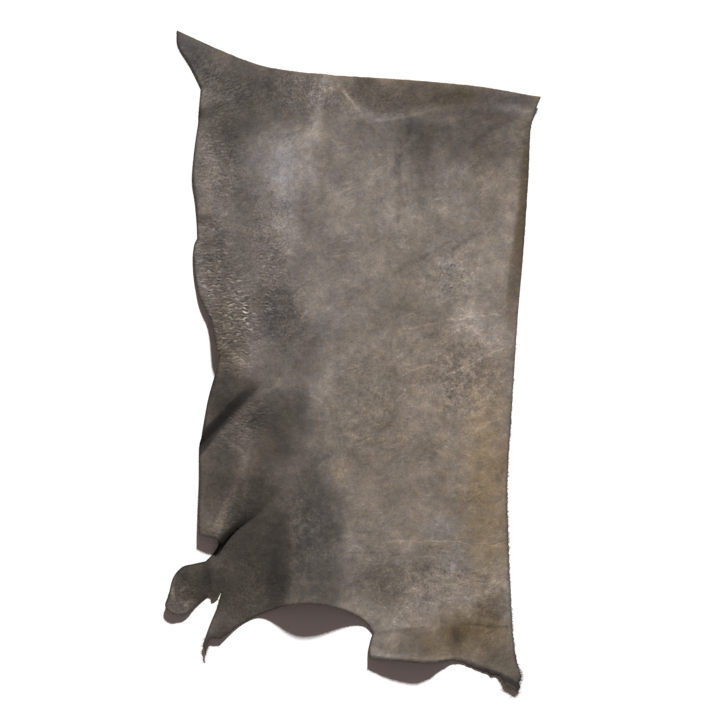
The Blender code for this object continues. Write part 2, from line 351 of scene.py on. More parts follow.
# One with loose grain: the degrees from +X to its ripples' length, and the height of ripples and pebbles.
Loose = NamedTuple("Loose", OVAL + [("lay", float), ("ripple", float), ("pebble", float)])
LOOSE_GRAIN = [Loose(*row) for row in [
    # (x, y, long, wide, turn, lay, ripple, pebble)
    (-186, 60, 110, 70, 96, 0, 0.3, 0.08), (-214, 150, 112, 54, 90, 0, 0.2, 0.08),
    (-172, 66, 60, 34, 80, 0, 0.36, 0), (-130, 84, 60, 34, 90, 0, 0.16, 0),
    (-124, 146, 70, 30, 90, 0, 0.15, 0.04), (-200, 300, 120, 56, 90, 0, 0.12, 0.1),
    (-164, -98, 70, 40, 40, 0, 0.19, 0.06), (-180, -230, 90, 50, 70, 0, 0.08, 0.08),
    (-255, -350, 50, 40, 90, 0, 0.08, 0.14), (-150, -360, 90, 70, 0, 0, 0.04, 0.08),
    (-222, 436, 50, 32, 140, 60, 0.09, 0.03), (-190, 400, 76, 46, 160, 30, 0.08, 0.04),
    (-85, 400, 100, 44, 170, 82, 0.05, 0.1), (-130, 190, 120, 60, 90, 0, 0.05, 0.1),
    (-110, 80, 90, 50, 90, 0, 0.03, 0.1), (20, 390, 90, 40, 0, 82, 0.03, 0.06),
]]
LOOSE_FADE = 1.6
RIPPLE_PITCH = 4.9
RIPPLE_LONGER = 2.0  # their length over their width
RIPPLE_SWAY = 0.55  # how far they sway, in pitches
SWAY_SIZE = 16.0
RIPPLE_BREAK = 0.62  # how far their ends are put out of line, in pitches
BREAK_SIZE = 4.8
STRENGTH_MEAN, STRENGTH_SPREAD, MOST_STRENGTH = 0.68, 1.3, 1.7
STRENGTH_SIZE = 5.2
# Painted highlight on the side of each ripple that faces the light.
RIPPLE_GLINT = 3.3  # what a millimetre of ripple adds to the tone of its upper side
GLINT_AT, GLINT_WIDE = 0.72, 0.17  # shares of the pitch
# Painted shade in the valleys between the ripples.
RIPPLE_SHADE = 2.8  # what a millimetre of ripple takes from the tone of its valleys
PEBBLES = [(4.6, 1.0, 23), (2.6, 0.5, 24)]  # (size of the noise, its share of a pebble, seed)
SWELL_SIZE = 46.0
SWELL_HEIGHT = 0.22


class Crease(NamedTuple):
    """A line where the grain side is pressed in, or raised where the depth is negative."""

    name: str
    reach: float
    points: list  # (x, y, depth, what it adds to the log of the brightness)
    warmth: float = 0.0  # what it adds to the golden tint, times its tone


# The tones of many of these creases are painted light.  Painted shade: the flank fold, lobe foot, lobe
# furrow, shank crease, tail crease, second tail crease and lip shade, and the tail and rump rolls, where the
# tail edge rolls over and is also dark and rough.  The back roll is partly painted shade on the curl of the
# back edge and partly browner leather.  Painted highlights: the lobe crest, lobe wrinkle, mouth rim, withers
# line, lip line, shoulder line, and the shank rim, crumple and wrinkle.
CREASES = [
    Crease("flank fold", 12, [
        (-146, -40, 0, -0.1), (-156, -51, 0.4, -0.5), (-171, -64, 0.8, -0.9), (-186, -80, 0.9, -1.2),
        (-200, -95, 0.9, -1.4), (-213, -108, 0.9, -1.5), (-224, -124, 0.8, -1.5), (-234, -136, 0.6, -1.3)]),
    Crease("lobe foot", 8, [
        (-144, -222, 0, 0.0), (-160, -240, 0.3, -0.25), (-176, -254, 0.6, -0.35), (-195, -271, 0.6, -0.6),
        (-213, -288, 0.4, -0.8)]),
    Crease("lobe crest", 9, [
        (-160, -134, 0, 0.0), (-163, -152, -0.5, 0.32), (-166, -170, -0.5, 0.34), (-176, -191, -0.5, 0.34),
        (-188, -217, -0.6, 0.36), (-200, -247, -0.6, 0.4), (-203, -262, 0, 0.1)]),
    Crease("lobe wrinkle", 6, [
        (-204, -108, 0, 0.0), (-194, -118, -0.5, 0.22), (-177, -131, -0.6, 0.28), (-158, -146, 0, 0.1)]),
    Crease("lobe furrow", 16, [
        (-134, -142, 0, 0.0), (-140, -160, 0.4, -0.14), (-144, -190, 0.5, -0.2), (-150, -214, 0.3, -0.18),
        (-154, -226, 0, 0.0)]),
    Crease("mouth rim", 8, [
        (-208, 24, 0, 0.1), (-198, 20, -0.6, 0.32), (-184, 13, -0.7, 0.34), (-165, -6, -0.5, 0.3),
        (-146, -17, 0, 0.05)]),
    Crease("mouth loop", 6, [
        (-104, -22, 0, 0.0), (-112, -40, -0.4, 0.22), (-127, -49, -0.5, 0.24), (-147, -50, 0, 0.05)]),
    Crease("shank crease", 8, [
        (-222, -304, 0, 0.0), (-220, -320, 1.0, -0.35), (-218, -338, 1.0, -0.35), (-216, -352, 0, 0.0)]),
    Crease("tail crease", 7, [
        (24, -413, 0, 0.0), (50, -411, 0.9, -0.3), (86, -406, 0.9, -0.3), (112, -403, 0, 0.0)]),
    Crease("second tail crease", 5, [
        (150, -397, 0, 0.0), (180, -399, 0.4, -0.06), (214, -402, 0.4, -0.06), (238, -404, 0, 0.0)]),
    Crease("tail valley", 13, [
        (157, -392, 0, 0.0), (156, -412, 0.7, -0.14), (155, -436, 0.8, -0.18), (154, -452, 0.8, -0.18)]),
    Crease("withers line", 5, [
        (-20, 412, 0, 0.1), (-15, 402, -0.6, 0.36), (-5, 388, -0.7, 0.34), (5, 375, -0.5, 0.24),
        (16, 365, 0, 0.08)]),
    Crease("lip shade", 9, [
        (10, 396, 0, 0.0), (22, 380, 0, -0.12), (55, 376, 0, -0.2), (100, 382, 0, -0.2),
        (132, 388, 0, -0.12), (150, 392, 0, 0.0)]),
    Crease("lip line", 5, [
        (22, 359, 0, 0.1), (40, 357, -0.4, 0.1), (69, 361, -0.4, 0.08), (104, 368, -0.4, 0.06),
        (129, 377, 0, 0.1)]),
    Crease("shoulder line", 7, [
        (-42, 422, 0, 0.1), (-45, 404, -0.4, 0.26), (-50, 378, -0.3, 0.2), (-55, 345, 0, 0.12),
        (-58, 320, 0, 0.0)]),
    Crease("back roll", 12, [
        (272, 384, 0, -0.1), (267, 345, 0, -0.25), (261, 290, 0, -0.46), (257, 240, 0, -0.54),
        (250, 185, 0, -0.58), (241, 120, 0, -0.54), (238, 90, 0, -0.48), (242, 45, 0, -0.1)], warmth=-1.1),
    Crease("tail roll", 3, [
        (27, -444, 0, -0.9), (70, -447, 0, -0.6), (112, -450, 0, -0.6), (140, -450, 0, -0.7)]),
    Crease("rump roll", 6, [
        (140, -452, 0, -0.4), (156, -450, 0, -0.6), (188, -462, 0, -0.9), (219, -473, 0, -1.3),
        (247, -488, 0, -1.5)]),
    Crease("shank rim", 5, [
        (-262, -318, 0, 0.0), (-269, -329, -0.6, 0.55), (-271, -347, -0.6, 0.6), (-267, -363, -0.4, 0.4),
        (-258, -366, 0, 0.1)]),
    Crease("shank crumple", 5, [
        (-259, -360, 0, 0.3), (-250, -368, -0.7, 0.7), (-243, -361, -0.5, 0.5), (-240, -352, 0, 0.0)]),
    Crease("shank wrinkle", 4, [
        (-263, -350, 0, 0.0), (-256, -347, -0.5, 0.35), (-250, -340, -0.4, 0.3), (-246, -332, 0, 0.0)]),
]


def oval_share(at, oval):
    """How far out each point lies in an oval place: 0 at its middle and 1 on its rim."""
    angle = math.radians(oval.turn)
    along = np.array([math.cos(angle), math.sin(angle)])
    across = np.array([-along[1], along[0]])
    way = at - np.array([oval.x, oval.y])
    return np.hypot(way @ along / oval.long, way @ across / oval.wide)


def looseness(at, lay=None):
    """The height of ripples and of pebbles at each point: the largest that any loose place gives it, fading
    by half a cosine of the way out to the power of LOOSE_FADE.  A given lay counts only its own ripples."""
    ripple, pebble = np.zeros((2, len(at)))
    for place in LOOSE_GRAIN:
        near = soft(np.clip(oval_share(at, place) ** LOOSE_FADE, 0, 1))
        if lay is None or place.lay == lay:
            ripple = np.maximum(ripple, place.ripple * near)
        pebble = np.maximum(pebble, place.pebble * near)
    return ripple, pebble


def ripples(at):
    """Short broken ripples: their height, and what they add to the log of the brightness.  With u the way
    across them over RIPPLE_PITCH, moved by noise, each is |sin(pi u)|, a round crest between sharp valleys,
    times a strength that noise of their length sets.  A painted highlight lies on the crest's upper side,
    which faces the light, at u = GLINT_AT, by a bell curve, and painted shade darkens the valleys by the
    square of 1 - |sin(pi u)|."""
    relief, tone = np.zeros((2, len(at)))
    for lay in sorted({place.lay for place in LOOSE_GRAIN}):
        along = np.array([math.cos(math.radians(lay)), math.sin(math.radians(lay))])
        across = np.array([-along[1], along[0]])
        drawn = np.stack([at @ along / RIPPLE_LONGER, at @ across], axis=1)
        u = at @ across / RIPPLE_PITCH + RIPPLE_SWAY * soft_noise(at, SWAY_SIZE, seed=20)
        u += RIPPLE_BREAK * soft_noise(drawn, BREAK_SIZE, seed=21)
        strength = STRENGTH_MEAN + STRENGTH_SPREAD * soft_noise(drawn, STRENGTH_SIZE, seed=22)
        height = looseness(at, lay)[0] * np.clip(strength, 0.0, MOST_STRENGTH)
        crest = np.abs(np.sin(np.pi * u))
        relief += height * 2.0 * (crest - 2.0 / np.pi)
        glint = np.exp(-((u % 1.0 - GLINT_AT) / GLINT_WIDE) ** 2)
        tone += height * (RIPPLE_GLINT * glint - RIPPLE_SHADE * (1.0 - crest) ** 2)
    return relief, tone


def grain_relief(at):
    """The height that the grain adds: ripples, pebbles of two sizes, and slow swells."""
    pebbles = sum(share * soft_noise(at, size, seed) for size, share, seed in PEBBLES)
    return ripples(at)[0] + looseness(at)[1] * pebbles + SWELL_HEIGHT * soft_noise(at, SWELL_SIZE, seed=25)


def creases(at):
    """How deep the creases are at each point, what they add to its tone and warmth, and how near the
    closest one is, as a share of its reach.  Depth fades by half a cosine of the share, tone by one of its
    square."""
    depth, tone, warmth = np.zeros((3, len(at)))
    closest = np.ones(len(at))
    for crease in CREASES:
        rows = np.array(crease.points, float)
        low, high = rows[:, :2].min(0) - crease.reach, rows[:, :2].max(0) + crease.reach
        near = np.flatnonzero(((at > low) & (at < high)).all(axis=1))
        nearest = np.full(len(near), np.inf)
        values = np.zeros((2, len(near)))
        for distance, _, columns in crest_stretches(curve_through(crease.points, CREST_STEP), at[near]):
            values = np.where(distance < nearest, columns, values)
            nearest = np.minimum(nearest, distance)
        share = np.clip(nearest / crease.reach, 0, 1)
        depth[near] += values[0] * soft(share)
        tone[near] += values[1] * soft(share ** 2)
        warmth[near] += crease.warmth * values[1] * soft(share ** 2)
        closest[near] = np.minimum(closest[near], share)
    return depth, tone, warmth, closest


# ---------------------------------------------------------------------------------------------
# The sheet as one closed mesh: the grain side on a square net of points, closer together where
# the grain is loose or the folds are steep, the flesh side on a wide net, and between them the
# cut edge, which is a rounded profile carried around the outline.

THICKNESS = 2.2
STEEPEST = 2.0  # the most that slope may thicken the sheet, as a multiple
EDGE_PROFILE = [(0.40, 0.0), (0.0, 0.22), (0.0, 0.74), (0.45, 1.0)]  # (in from the outline, share of height)
SHARP_BEND = 38.0  # degrees
NET_STEP = 1.25
CLEARANCE = 0.95  # that a point of the grain side keeps from the edge
FLESH_CLEARANCE = 1.6
FLESH_STEEP = 0.30
FLESH_RAISED = 0.3


class Net(NamedTuple):
    """A net of every so many nodes each way, kept where any one of these holds."""

    every: int
    ripple: float  # the ripples are higher than this
    pebble: float  # the pebbles are higher
    steep: float  # the sheet rises more over its run
    crease: float  # a crease is nearer, as a share of its reach
    edge: float  # the edge is nearer


ANY, NONE = -1.0, math.inf
NETS = [
    Net(1, ripple=0.07, pebble=NONE, steep=0.55, crease=0.9, edge=3.2),
    Net(2, ripple=0.02, pebble=0.04, steep=0.08, crease=0.0, edge=8.0),
    Net(4, ripple=ANY, pebble=ANY, steep=ANY, crease=0.0, edge=0.0),
]


def net_points(edge, step, chosen, clearance):
    """Points of a square net inside the edge.  Each side of the edge flips the nodes to its left in the
    rows that it crosses, so that those inside are flipped an odd number of times.  Nodes within the
    clearance of an edge point are dropped.  chosen(columns, rows, at) says which of the rest to keep."""
    low = edge.min(0) - 2 * step
    columns, rows = np.ceil((edge.max(0) + 2 * step - low) / step).astype(int)
    inside = np.zeros((rows, columns), bool)
    for a, b in zip((edge - low) / step, (np.roll(edge, -1, axis=0) - low) / step):
        for row in range(math.ceil(min(a[1], b[1])), math.ceil(max(a[1], b[1]))):
            crossing = a[0] + (row - a[1]) * (b[0] - a[0]) / (b[1] - a[1])
            inside[row, :math.ceil(crossing)] ^= True
    nearest = np.round((edge - low) / step).astype(int)
    span = math.ceil(clearance / step) + 1
    for dx in range(-span, span + 1):
        for dy in range(-span, span + 1):
            node = nearest + (dx, dy)
            close = np.linalg.norm(low + node * step - edge, axis=1) < clearance
            inside[node[close, 1], node[close, 0]] = False
    row, column = np.nonzero(inside)
    at = low + step * np.stack([column, row], axis=1)
    return at[chosen(column, row, at)]


def every(count, column, row):
    return (column % count == 0) & (row % count == 0)


def grain_side_choice(column, row, at):
    """Every node where the grain is rippled, the sheet steep or creased, or the edge near, every second one
    each way where it is uneven, and elsewhere every fourth."""
    ripple, pebble = looseness(at)
    steep, near_crease, to_edge = steepness(at), creases(at)[3], nearest_edge(at)[0]
    chosen = np.zeros(len(at), bool)
    for net in NETS:
        lively = (ripple > net.ripple) | (pebble > net.pebble) | (steep > net.steep)
        lively |= (near_crease < net.crease) | (to_edge < net.edge)
        chosen |= lively & every(net.every, column, row)
    return chosen


def flesh_side_choice(column, row, at):
    """Every node where the sheet is steep, every second one each way where it rises, and elsewhere every
    eighth."""
    steep, raised = steepness(at) > FLESH_STEEP, underside_height(at) > FLESH_RAISED
    return steep | (raised & every(2, column, row)) | every(8, column, row)


def net_faces(edge, inner):
    """The triangles of a net: the edge first, then the points inside it."""
    plan = np.vstack([edge, inner])
    sides = [(i, (i + 1) % len(edge)) for i in range(len(edge))]
    inside_only, same_point = 1, 1e-5
    _, _, faces, origins, *_ = delaunay_2d_cdt([Vector(p) for p in plan], sides, [], inside_only, same_point)
    source = np.array([origin[0] for origin in origins])
    return plan, source[np.array(faces)]


def hide_mesh(name):
    """The closed sheet.  Grain side: z = underside + thickness sqrt(1 + slope^2) + relief; flesh side:
    z = underside; edge rows: the outline drawn in by the profile, at its share of the height."""
    rows = [ring - inset * ring_outwards for inset, _ in EDGE_PROFILE]
    grain_side = net_points(rows[-1], NET_STEP, grain_side_choice, CLEARANCE)
    flesh_side = net_points(rows[0], 2 * NET_STEP, flesh_side_choice, FLESH_CLEARANCE)
    top, top_faces = net_faces(rows[-1], grain_side)
    low, low_faces = net_faces(rows[0], flesh_side)
    plan = np.vstack([top, low] + rows[1:-1])
    under = underside_height(plan)
    over = under + THICKNESS * np.minimum(np.sqrt(1 + steepness(plan) ** 2), STEEPEST)
    over += grain_relief(plan) - creases(plan)[0]
    count = len(ring)
    share = np.zeros(len(plan))
    share[:len(top)] = 1.0
    share[len(top) + len(low):] = np.repeat([part for _, part in EDGE_PROFILE[1:-1]], count)
    height = under + share * (over - under)

    first = [len(top)] + [len(top) + len(low) + i * count for i in range(len(rows) - 2)] + [0]
    along = np.arange(count)
    after = (along + 1) % count
    edge_faces = [np.stack([below + along, above + along, above + after, below + after], axis=1)
                  for below, above in zip(first, first[1:])]
    faces = top_faces.tolist() + (len(top) + low_faces[:, ::-1]).tolist() + np.vstack(edge_faces).tolist()
    mesh = bpy.data.meshes.new(name)
    mesh.from_pydata((np.column_stack([plan - plan_middle, height]) * MM).tolist(), [], faces)
    part = np.repeat([0, 2, 1], [len(top_faces), len(low_faces), len(edge_faces) * count])
    mesh.polygons.foreach_set("material_index", part.astype(np.int32))
    mesh.shade_smooth()
    mesh.set_sharp_from_angle(angle=math.radians(SHARP_BEND))
    return mesh, plan


def in_scene(name, data):
    """A new object in the scene, with this mesh, light or camera."""
    made = bpy.data.objects.new(name, data)
    bpy.context.scene.collection.objects.link(made)
    return made


hide_data, hide_plan = hide_mesh("hide_leather")
hide = in_scene("hide_leather", hide_data)

# ---------------------------------------------------------------------------------------------
# The colour.  The hide was dyed a grey olive brown by hand, waxed and rubbed, so it is pale where it
# was stretched and rubbed, umber towards the flank, and golden along the rump.  Soft oval patches,
# their borders drawn about by noise, set the depth of the dye at each vertex, and some of them are
# painted shade, painted highlights and painted sheen instead, as noted in the table.

# A patch adds so much to the log of the brightness, and so much to the golden tint.
Patch = NamedTuple("Patch", OVAL + [("tone", float), ("warmth", float)])
PATCHES = [Patch(*row) for row in [
    # (x, y, long, wide, turn, tone, warmth)
    # The belly side and the flank, darker and greyer than the back.
    (-192, 181, 420, 150, 90, -0.45, -0.1), (-170, -239, 330, 165, 90, -0.92, 0.2),
    # The neck: its point, the strip along the cut, and the corner at the back.
    (-242, 462, 66, 40, -60, -0.75, -0.25), (-136, 403, 150, 64, -12, -0.8, 0),
    (-188, 361, 75, 60, 0, -0.22, 0), (-219, 331, 40, 25, 0, 0.2, 0.1), (-152, 233, 60, 40, 0, -0.1, 0),
    (-176, 330, 76, 50, 10, -0.34, 0), (-212, 164, 54, 36, 90, -0.34, 0),
    # The last patch here is painted shade in the dip between two swells of the belly edge.
    (-216, 240, 120, 16, 90, 0.26, 0.1), (-188, 233, 45, 14, 90, 0.12, 0), (-220, 205, 26, 14, 0, -0.52, 0),
    (100, 398, 190, 38, -3, -0.39, 0.35), (158, 395, 60, 22, 0, -0.2, 0.3),
    (30, 422, 70, 14, -4, 0.34, 0.2), (228, 382, 55, 24, -8, -0.1, -0.5), (178, 358, 32, 20, 0, -0.3, 0),
    (218, 359, 45, 16, 10, -0.35, 0.2), (170, 334, 140, 64, -4, -0.64, 0.1),
    (262, 388, 36, 18, -20, -0.25, 0), (76, 262, 74, 20, 88, -0.15, 0), (-60, 350, 24, 20, 0, -0.12, 0),
    (-12, 203, 40, 30, 0, 0.12, 0), (84, 350, 110, 36, -6, -0.16, -0.1), (192, 371, 76, 15, -6, -0.34, 0),
    (100, 301, 80, 30, 97, -0.46, 0), (63, 353, 50, 22, 0, -0.2, -0.2), (14, 331, 70, 45, 0, -0.2, 0),
    # The pale place behind the neck, a painted sheen on the ridge of the withers, with its streaks.
    (-108, 290, 84, 74, 104, 0.4, -0.45), (-42, 306, 74, 20, 80, -0.22, 0.1),
    (-26, 218, 54, 26, 90, 0.08, 0), (-158, 250, 40, 26, 90, -0.22, 0), (-52, 379, 62, 14, 76, 0.3, -0.15),
    (55, 402, 56, 15, -3, 0.16, 0), (-96, 214, 84, 30, 92, 0.36, -0.2), (-147, 214, 44, 22, 90, -0.18, 0),
    (-105, 271, 22, 16, 0, 0.12, 0), (-110, 323, 22, 16, 0, 0.12, 0),
    # The back, browner along its cut.
    (208, 271, 110, 45, 88, -0.12, 0.25), (252, 241, 200, 15, 88, -0.12, 0.3),
    (238, 210, 80, 12, 88, 0.12, 0.2), (222, 110, 60, 14, 86, 0.14, 0), (208, 232, 40, 30, 90, -0.1, 0),
    (126, 223, 30, 14, 0, 0.12, 0), (141, 148, 16, 12, 0, 0.2, 0), (78, 170, 16, 12, 0, 0.2, 0),
    (194, 46, 62, 40, -30, 0.46, -0.2), (153, 113, 95, 75, 90, 0.14, -0.15), (190, -7, 24, 14, 0, -0.2, 0),
    (198, -60, 90, 50, 90, 0.05, 0.15), (202, -205, 205, 56, 90, 0, 0.82),
    (130, -110, 430, 210, 90, -0.04, 0.32), (224, -167, 24, 10, 90, -0.35, 0),
    # Clouds over the shoulder and the side.
    (-27, 143, 45, 25, 90, -0.15, 0), (-108, 66, 70, 48, 100, -0.46, -0.1), (-76, 20, 70, 56, 90, -0.52, 0),
    (-70, -74, 70, 40, 90, -0.28, 0), (-42, 53, 45, 25, 0, -0.2, -0.3), (78, 80, 22, 14, 0, -0.3, 0),
    (117, 37, 20, 12, 0, -0.35, 0), (28, 28, 45, 28, 0, 0.15, 0), (130, -22, 14, 12, 0, -0.35, 0),
    (130, -47, 36, 18, 0, 0.15, 0), (150, 42, 36, 30, 0, 0.1, 0), (-38, -37, 36, 18, 90, 0.2, 0),
    (116, -134, 30, 22, 0, -0.25, 0.1), (60, -26, 30, 24, 0, -0.2, 0),
    # The belly and the folds of the flank.
    # The first patch here is painted shade over the belly fold's slope that faces the light.
    (-194, 46, 92, 50, 100, -0.66, 0.45), (-75, -71, 45, 20, 90, -0.35, -0.1),
    (-146, -94, 22, 16, 0, -0.35, -0.2), (-112, -98, 80, 56, 90, -0.62, 0),
    # The second patch here is painted shade over the lobe's slope that faces the light.
    (-134, -134, 46, 16, 65, 0.12, 0.45), (-200, -190, 90, 46, 90, -0.4, 0.15),
    # The first patch here is painted shade in the hollow under the fold mouth.
    (-202, -54, 60, 24, -46, -0.14, 0), (-127, -7, 40, 24, 0, -0.12, 0),
    # The first patch here is a painted highlight along the lobe's crest.
    (-194, -229, 54, 30, 68, 0.38, 0.1), (-176, -7, 42, 24, -45, 0.3, 0.1),
    # First patch here: painted shade under the fold mouth; second: darker leather and painted shade in the
    # lee of the lobe.
    (-194, -44, 44, 26, -40, -0.34, 0), (-136, -179, 60, 24, 75, -0.24, 0.1),
    # The rump: the dark flank, the bluish band beside it, pale rubbed places and gold by the tail.
    (-147, -299, 150, 104, 90, -0.71, 0.1), (-196, -384, 66, 50, 60, -0.3, 0.1),
    (-108, -300, 120, 26, 88, -0.58, 0), (-52, -262, 170, 56, 92, -1.06, -0.1),
    (-30, -262, 40, 22, 90, -0.25, 0), (-115, -245, 230, 44, 90, -0.12, 0),
    (-15, -164, 36, 16, 90, 0.1, 0.35), (66, -165, 60, 36, 0, 0.12, -0.1), (-32, -62, 60, 26, 90, -0.1, 0),
    (118, -176, 60, 40, 90, -0.2, 0), (130, -254, 40, 30, 0, 0.1, -0.35),
    (158, -302, 42, 22, 0, 0.06, -0.4), (-2, -345, 110, 60, 0, -0.52, 0.15),
    (45, -352, 44, 20, 0, -0.12, 0), (26, -134, 140, 96, 90, -0.16, 0.1),
    (206, -371, 36, 22, 0, -0.56, 0.5), (172, -416, 110, 46, 0, -0.66, 1.15),
    (226, -462, 66, 40, 0, -0.85, 0.4), (246, -488, 34, 22, 0, -0.8, 0), (176, -392, 64, 34, 0, -0.2, 0.5),
    # The second patch here is painted shade over the tail flap's slope that faces the light, the third a
    # painted highlight where the tail edge curls up.
    (154, -412, 30, 9, 90, -0.34, 0), (86, -431, 76, 36, 0, -0.7, 0.35), (56, -441, 30, 7, 0, 0.34, -0.4),
    # The hock and the shank flap.
    (-212, -427, 50, 34, 60, -1.0, 0), (-208, -401, 14, 10, 0, 0.2, 0),
    # Partly the shank flap's own darker colour and partly painted shade over its slope that faces the light.
    (-252, -344, 80, 60, 0, -0.98, 0.25),
]]
PATCH_FADE = 1.3
STRAYS = [(38.0, 9.0, 31), (13.0, 4.0, 33), (5.0, 1.6, 35)]  # (size of noise, how far borders move, seed)
# The darkening along the edge is partly the cut's own colour and partly painted shade.
BURN_AND_SHADE_DEPTH = 2.3  # how far in from the edge its colour reaches

Worn = NamedTuple("Worn", OVAL + [("share", float)])
PITTED = [Worn(*row) for row in [
    # (x, y, long, wide, turn, share)
    # Rough places where the wax was rubbed off the raised grain.
    (150, 128, 78, 56, 90, 0.85), (146, -37, 50, 34, 90, 0.85), (138, -314, 70, 90, 90, 0.8),
    (170, -200, 60, 40, 90, 0.5), (-20, -150, 60, 40, 90, 0.5), (-96, 310, 60, 40, 100, 0.4),
]]
UNEVEN = [Worn(*row) for row in [
    # (x, y, long, wide, turn, share)
    # Places that are more scuffed and mottled than the rest.
    (168, -22, 90, 110, 0, 1.3), (-72, -262, 62, 110, 0, 1.3), (-108, 60, 60, 70, 0, 0.8),
    (85, -345, 130, 70, 0, 0.9), (-158, -325, 70, 60, 0, 0.5), (145, 121, 70, 60, 0, 0.6),
    (-75, 400, 130, 50, 0, 0.7), (33, -60, 110, 130, 0, 0.5), (-190, 60, 90, 120, 0, 0.35),
    (-170, -320, 80, 80, 0, 0.6), (-252, -344, 50, 40, 0, 0.8), (195, -370, 60, 80, 0, 0.7),
]]
RUBBED_DOWN = [Worn(*row) for row in [
    # (x, y, long, wide, turn, share)
    (80, 220, 190, 130, 90, 1.0), (-60, 250, 140, 60, 80, 0.7),
]]
RUBBED_ACROSS = [Worn(*row) for row in [
    # (x, y, long, wide, turn, share)
    (40, -300, 200, 90, 0, 1.0), (-90, -230, 110, 60, 90, 0.6),
]]
PITTED_MEAN, PITTED_SPREAD, PITTED_SIZE = 0.7, 1.3, 17.0
# What is worn fully: where ripples and pebbles stand so high in mm, or the sheet rises so over its run.
FULL_UPRIGHT, FULL_SLANTING, FULL_PEBBLED, FULL_MATT = 0.09, 0.08, 0.10, 0.30


def strongest(places, at):
    """The largest share that any worn place gives each point, fading by half a cosine to its rim."""
    return np.max([place.share * soft(np.clip(oval_share(at, place), 0, 1)) for place in places], axis=0)


def dye_and_painted_light(at):
    """The tone and warmth at each point: every patch's, fading by half a cosine of the way out to the power
    of PATCH_FADE, after the points are moved by noise of three sizes, and those of creases and ripples.
    Much of it is painted shade and painted highlight, besides the dye."""
    moved = at.copy()
    for size, far, seed in STRAYS:
        moved += far * np.stack([soft_noise(at, size, seed), soft_noise(at, size, seed + 1)], axis=1)
    tone, warmth = np.zeros((2, len(at)))
    for patch in PATCHES:
        near = soft(np.clip(oval_share(moved, patch) ** PATCH_FADE, 0, 1))
        tone += patch.tone * near
        warmth += patch.warmth * near
    _, crease_tone, crease_warmth, _ = creases(at)
    return tone + crease_tone + ripples(at)[1], warmth + crease_warmth


def pitting(at):
    """How rough and spotted each point is, from 0 to 1, more in some places than in others."""
    share = PITTED_MEAN + PITTED_SPREAD * soft_noise(at, PITTED_SIZE, seed=41)
    return np.clip(strongest(PITTED, at) * share, 0, 1)


hide_tone, hide_warmth = dye_and_painted_light(hide_plan)
to_edge, edge_number = nearest_edge(hide_plan)
edge_tone = np.array([run.tone for run in OUTLINE])[ring_runs][edge_number]
edge_warmth = np.array([run.warmth for run in OUTLINE])[ring_runs][edge_number]
# Near the edge, its run's tone and warmth: own colour and painted shade together.
burn_and_shade = np.exp(-(to_edge / BURN_AND_SHADE_DEPTH) ** 2)
for name, values in {
    "tone": hide_tone + burn_and_shade * edge_tone,
    "warmth": hide_warmth + burn_and_shade * edge_warmth,
    "edge_tone": edge_tone,
    "edge_warmth": edge_warmth,
    "upright": np.clip(looseness(hide_plan, 60)[0] / FULL_UPRIGHT, 0, 1),
    "slanting": np.clip(looseness(hide_plan, 30)[0] / FULL_SLANTING, 0, 1),
    "uneven": strongest(UNEVEN, hide_plan),
    "rubbed_down": strongest(RUBBED_DOWN, hide_plan),
    "rubbed_across": strongest(RUBBED_ACROSS, hide_plan),
    "matt": np.clip(steepness(hide_plan) / FULL_MATT, 0, 1),
    "pebbled": np.clip(looseness(hide_plan)[1] / FULL_PEBBLED, 0, 1),
    "pitted": pitting(hide_plan),
}.items():
    stored = hide_data.attributes.new(name, "FLOAT", "POINT")
    stored.data.foreach_set("value", values.astype(np.float32))


def add_node(tree, kind, settings=None, **inputs):
    """A new node, with its own settings and a value or a link for each input.  A name's _ is a space."""
    node = tree.nodes.new(kind)
    for name, value in (settings or {}).items():
        setattr(node, name, value)
    for name, value in inputs.items():
        key = int(name[1:]) if name[1:].isdigit() else name.replace("_", " ")
        if isinstance(value, bpy.types.NodeSocket):
            tree.links.new(value, node.inputs[key])
        else:
            node.inputs[key].default_value = value
    return node


def math_node(tree, operation, a, b=0.0, c=0.0, clamp=False):
    """The output of a Math node."""
    settings = {"operation": operation, "use_clamp": clamp}
    return add_node(tree, "ShaderNodeMath", settings, i0=a, i1=b, i2=c).outputs[0]


def add_share(tree, total, value, share):
    """The total and a share of the value."""
    return math_node(tree, "MULTIPLY_ADD", value, share, total)


def vector_math(tree, operation, a, b, c=(0.0, 0.0, 0.0), output="Vector"):
    """The output of a Vector Math node."""
    return add_node(tree, "ShaderNodeVectorMath", {"operation": operation}, i0=a, i1=b, i2=c).outputs[output]


def new_group(name, inputs, output, kind):
    """A shader node group with one output, and its input and output nodes.  Inputs are by name, with their
    values, and one without a value is a vector."""
    group = bpy.data.node_groups.new(name, "ShaderNodeTree")
    for label, value in inputs.items():
        socket_type = "NodeSocketVector" if value is None else "NodeSocketFloat"
        socket = group.interface.new_socket(label, in_out="INPUT", socket_type=socket_type)
        if value is not None:
            socket.default_value = value
    group.interface.new_socket(output, in_out="OUTPUT", socket_type=kind)
    return group, group.nodes.new("NodeGroupInput"), group.nodes.new("NodeGroupOutput")


def cloud(tree, where, size, detail=2.0, roughness=0.5):
    """Noise from -1 to 1 whose features are about size metres across."""
    noise = add_node(tree, "ShaderNodeTexNoise", {"noise_dimensions": "3D"},
                     Vector=where, Scale=1.0 / size, Detail=detail, Roughness=roughness)
    return math_node(tree, "MULTIPLY_ADD", noise.outputs["Fac"], 2.0, -1.0)


GRAIN_DEPTH = 0.135  # the green that the dye of the grain side reflects, where its tone is 0
RED_OVER_GREEN, RED_PER_WARMTH = 1.16, 0.16
BLUE_OVER_GREEN, BLUE_PER_WARMTH = 0.87, -0.21


